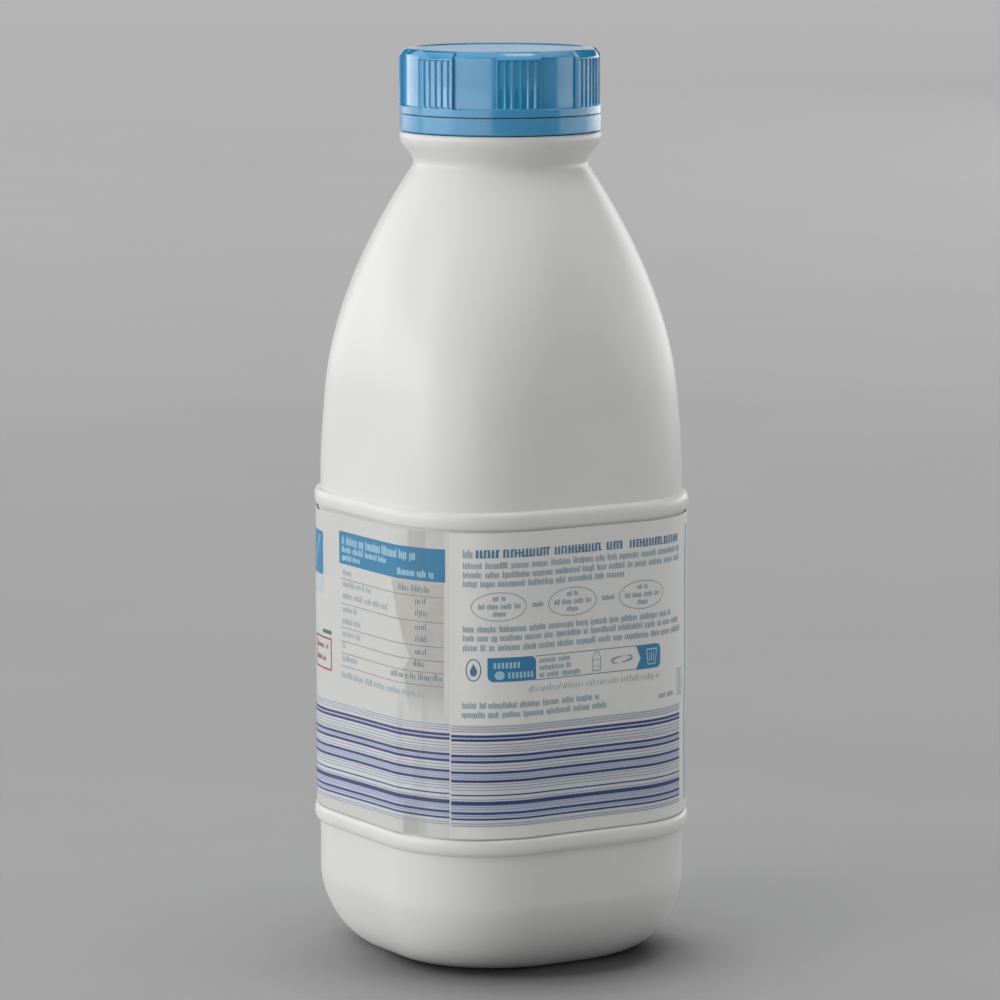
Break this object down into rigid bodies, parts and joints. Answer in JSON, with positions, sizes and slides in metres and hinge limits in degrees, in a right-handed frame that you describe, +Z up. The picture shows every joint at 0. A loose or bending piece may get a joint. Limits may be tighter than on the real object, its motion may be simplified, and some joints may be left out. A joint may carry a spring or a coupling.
{
  "type": "milk bottle",
  "caption": "White plastic milk bottle of rounded square section, with a wrap-round paper label between two beads, a blue ribbed screw cap and a tamper band.",
  "frame": {"origin": "centre of the bottle's foot, on the surface it stands on", "axes": "+Z up along the bottle's axis; the four flat sides face along X and Y; the label's upright lap is on the corner between -X and -Y"},
  "size_m": [0.0838, 0.0838, 0.2272],
  "materials": {
    "white_plastic": "satin white blow-moulded polyethylene",
    "label_paper": "smooth off-white paper with blue print",
    "blue_plastic": "satin blue injection-moulded polypropylene"
  },
  "bodies": {
    "root": {"bottle": "white_plastic", "label": "label_paper", "cap": "blue_plastic", "tamper_band": "blue_plastic"}
  },
  "joints": []
}
